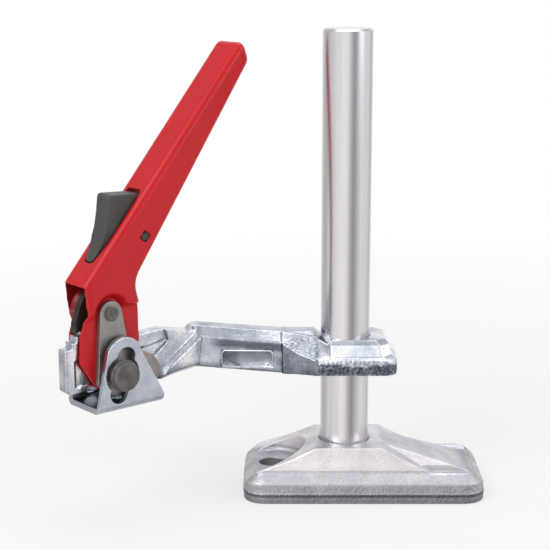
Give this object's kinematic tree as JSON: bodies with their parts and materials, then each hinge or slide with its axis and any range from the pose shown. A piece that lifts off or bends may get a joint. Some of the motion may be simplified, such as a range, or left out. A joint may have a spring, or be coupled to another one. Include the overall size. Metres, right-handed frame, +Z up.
{
  "type": "machine table clamp",
  "caption": "Machine table clamp: bolted foot, round column, and a swivelling arm whose lever presses a shoe down on the work, with a ratchet release trigger.",
  "frame": {"origin": "on the column's axis, in the plane of the foot's flat underside", "axes": "+Z up along the column; the arm leaves the column along -X and its head is cranked 40 degrees towards -Y; the foot's bolt hole is on the -X side"},
  "size_m": [0.2116, 0.0836, 0.237],
  "materials": {
    "foot_zinc": "zinc plated forging, satin, slightly uneven",
    "column_chrome": "bright plated round bar, smooth",
    "arm_zinc": "zinc plated forging, satin, slightly uneven",
    "ring_polymer": "moulded",
    "lever_red": "smooth powder coat, semi-gloss",
    "cam_steel": "hardened, dull",
    "rivet_steel": "dull",
    "pin_steel": "blackened, dull",
    "shoe_zinc": "zinc plated sheet, satin",
    "pawl_steel": "blackened",
    "trigger_plastic": "moulded, fine grain",
    "spring_steel": "wire"
  },
  "bodies": {
    "base": {"foot": "foot_zinc", "column": "column_chrome"},
    "ring": {"friction_ring": "ring_polymer"},
    "arm": {"arm": "arm_zinc", "pivot_pin": "pin_steel"},
    "lever": {"lever": "lever_red", "cam_near": "cam_steel", "cam_far": "cam_steel", "cam_rivet_near": "rivet_steel", "cam_rivet_far": "rivet_steel", "trigger_spring": "spring_steel"},
    "release": {"release_trigger": "trigger_plastic", "pawl": "pawl_steel"},
    "shoe": {"shoe": "shoe_zinc"}
  },
  "joints": [
    {"name": "arm_height", "type": "slide", "parent": "base", "child": "ring", "axis": [0, 0, 1], "range_m": [-0.036, 0.15]},
    {"name": "arm_swivel", "type": "hinge", "parent": "ring", "child": "arm", "pos_m": [0, 0, 0.0735], "axis": [0, 0, 1], "continuous": true},
    {"name": "lever_swing", "type": "hinge", "parent": "arm", "child": "lever", "pos_m": [-0.11844, -0.03561, 0.0735], "axis": [-0.6428, 0.766, 0], "range_deg": [-12, 36]},
    {"name": "shoe_lift", "type": "slide", "parent": "arm", "child": "shoe", "axis": [-0.1944, -0.1631, -0.9673], "range_m": [-0.0027, 0.008]},
    {"name": "trigger_press", "type": "hinge", "parent": "lever", "child": "release", "pos_m": [-0.1051, -0.02442, 0.13909], "axis": [-0.6428, 0.766, 0], "range_deg": [0, 4], "stiffness_Nm_per_rad": 0.3, "springref_deg": -5.73}
  ],
  "couplings": [
    {"joint": "shoe_lift", "follows": "lever_swing", "m_per_rad": 0.0125}
  ]
}
